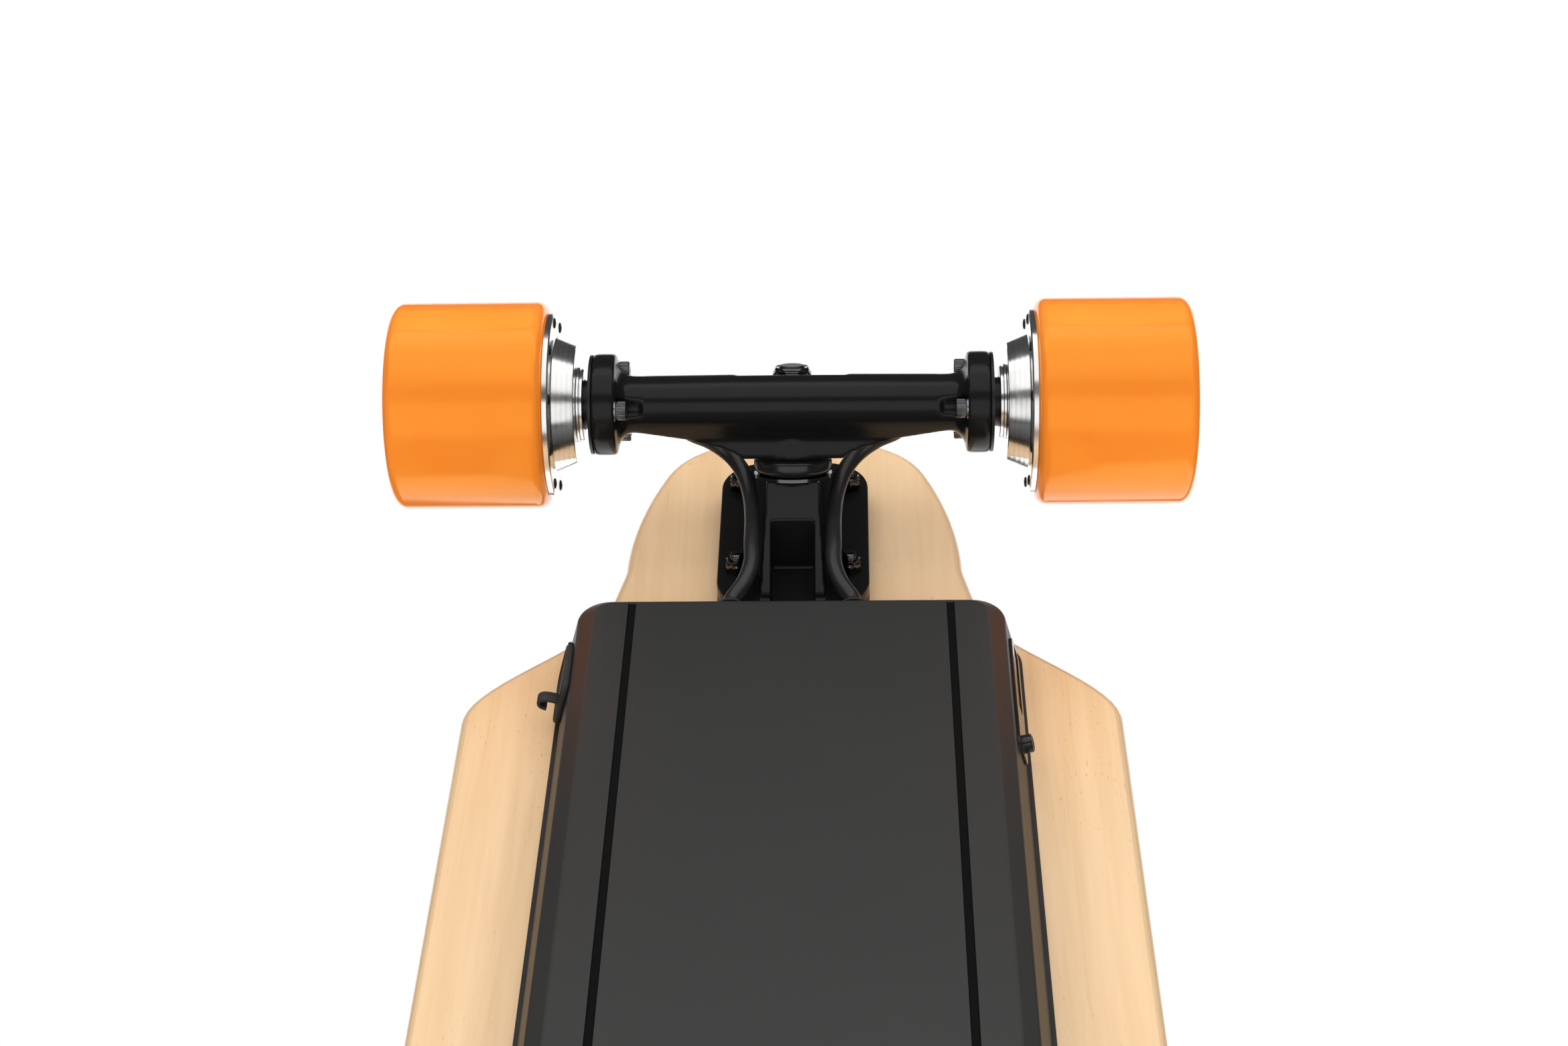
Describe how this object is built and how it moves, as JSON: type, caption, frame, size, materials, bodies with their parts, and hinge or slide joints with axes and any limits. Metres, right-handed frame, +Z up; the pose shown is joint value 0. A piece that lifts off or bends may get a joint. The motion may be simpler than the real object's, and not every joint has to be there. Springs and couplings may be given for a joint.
{
  "type": "electric skateboard",
  "caption": "Electric longboard with a maple deck, two hub motors in a steering rear truck, a steering front truck and a slim enclosure under the deck.",
  "frame": {"origin": "on the ground under the middle of the board", "axes": "+X to the right when facing the nose, +Y from tail to nose, +Z up; the board stands on its four wheels"},
  "size_m": [0.288, 0.9298, 0.1135],
  "materials": {
    "maple": "lacquered",
    "grip": "coarse grit",
    "black_aluminium": "satin anodised",
    "black_rubber": "matte",
    "black_steel": "black oxide",
    "black_chrome": "black chrome",
    "black_casting": "satin powder coat",
    "black_plastic": "moulded",
    "cell_wrap": "shrink wrap",
    "nickel": "plated",
    "circuit_board": "solder mask",
    "bare_aluminium": "machined",
    "polished_aluminium": "polished and turned",
    "cable_jacket": "smooth jacket",
    "riser_rubber": "pressed pad",
    "bushing_urethane": "smooth cast",
    "orange_urethane": "glossy cast",
    "electrical_steel": "laminated",
    "copper_wire": "enamelled",
    "bright_steel": "zinc plated"
  },
  "bodies": {
    "deck": {"deck": "maple", "grip_tape": "grip", "enclosure": "black_aluminium", "gasket": "black_rubber", "enclosure_screws": "black_steel", "battery_cells": "cell_wrap", "cell_holders": "black_plastic", "nickel_strips": "nickel", "battery_board": "circuit_board", "motor_controller": "circuit_board", "heat_spreader": "bare_aluminium", "radio_receiver": "circuit_board", "battery_leads": "cable_jacket", "charge_socket": "nickel", "switch_housing": "black_plastic", "cable_glands": "black_rubber", "motor_cables": "cable_jacket", "risers": "riser_rubber", "rear_baseplate": "black_casting", "front_baseplate": "black_casting", "deck_bolts": "black_steel", "deck_nuts": "black_chrome", "kingpins": "black_steel", "kingpin_nuts": "black_chrome", "cup_washers": "black_chrome", "pivot_cups": "black_rubber", "rear_bushings": "bushing_urethane", "front_bushings": "bushing_urethane"},
    "rear_truck": {"rear_hanger": "black_casting", "motor_axles": "black_steel", "stator_cores": "electrical_steel", "stator_windings": "copper_wire", "flange_screws": "black_chrome"},
    "front_truck": {"front_hanger": "black_casting", "front_axle": "bright_steel", "axle_nuts": "bright_steel"},
    "port_flap": {"port_cover": "black_rubber"},
    "power_key": {"power_button": "black_plastic"},
    "rear_left_wheel": {"rear_left_tyre": "orange_urethane", "rear_left_rotor": "bare_aluminium", "rear_left_magnets": "nickel", "rear_left_inner_cover": "polished_aluminium", "rear_left_outer_cap": "black_aluminium", "rear_left_bearings": "bright_steel", "rear_left_cover_screws": "black_steel"},
    "rear_right_wheel": {"rear_right_tyre": "orange_urethane", "rear_right_rotor": "bare_aluminium", "rear_right_magnets": "nickel", "rear_right_inner_cover": "polished_aluminium", "rear_right_outer_cap": "black_aluminium", "rear_right_bearings": "bright_steel", "rear_right_cover_screws": "black_steel"},
    "front_left_wheel": {"front_left_tyre": "orange_urethane", "front_left_hub": "black_aluminium", "front_left_bearings": "bright_steel"},
    "front_right_wheel": {"front_right_tyre": "orange_urethane", "front_right_hub": "black_aluminium", "front_right_bearings": "bright_steel"}
  },
  "joints": [
    {"name": "rear_steer", "type": "hinge", "parent": "deck", "child": "rear_truck", "pos_m": [0, -0.423, 0.0775], "axis": [0, -0.8133, 0.5819], "range_deg": [-14, 14], "stiffness_Nm_per_rad": 60, "deforming": ["rear_bushings", "motor_cables"]},
    {"name": "front_steer", "type": "hinge", "parent": "deck", "child": "front_truck", "pos_m": [0, 0.423, 0.0775], "axis": [0, -0.8133, -0.5819], "range_deg": [-14, 14], "stiffness_Nm_per_rad": 60, "deforming": ["front_bushings"]},
    {"name": "rear_left_spin", "type": "hinge", "parent": "rear_truck", "child": "rear_left_wheel", "pos_m": [-0.116, -0.39, 0.0375], "axis": [1, 0, 0], "continuous": true},
    {"name": "rear_right_spin", "type": "hinge", "parent": "rear_truck", "child": "rear_right_wheel", "pos_m": [0.116, -0.39, 0.0375], "axis": [1, 0, 0], "continuous": true},
    {"name": "front_left_spin", "type": "hinge", "parent": "front_truck", "child": "front_left_wheel", "pos_m": [-0.116, 0.39, 0.0375], "axis": [1, 0, 0], "continuous": true},
    {"name": "front_right_spin", "type": "hinge", "parent": "front_truck", "child": "front_right_wheel", "pos_m": [0.116, 0.39, 0.0375], "axis": [1, 0, 0], "continuous": true},
    {"name": "port_flap_swing", "type": "hinge", "parent": "deck", "child": "port_flap", "pos_m": [-0.07841, -0.3075, 0.08972], "axis": [-0.2562, 0, 0.9666], "range_deg": [0, 110]},
    {"name": "power_press", "type": "slide", "parent": "deck", "child": "power_key", "axis": [-0.9666, 0, 0.2562], "range_m": [0, 0.0015], "stiffness_N_per_m": 600}
  ]
}
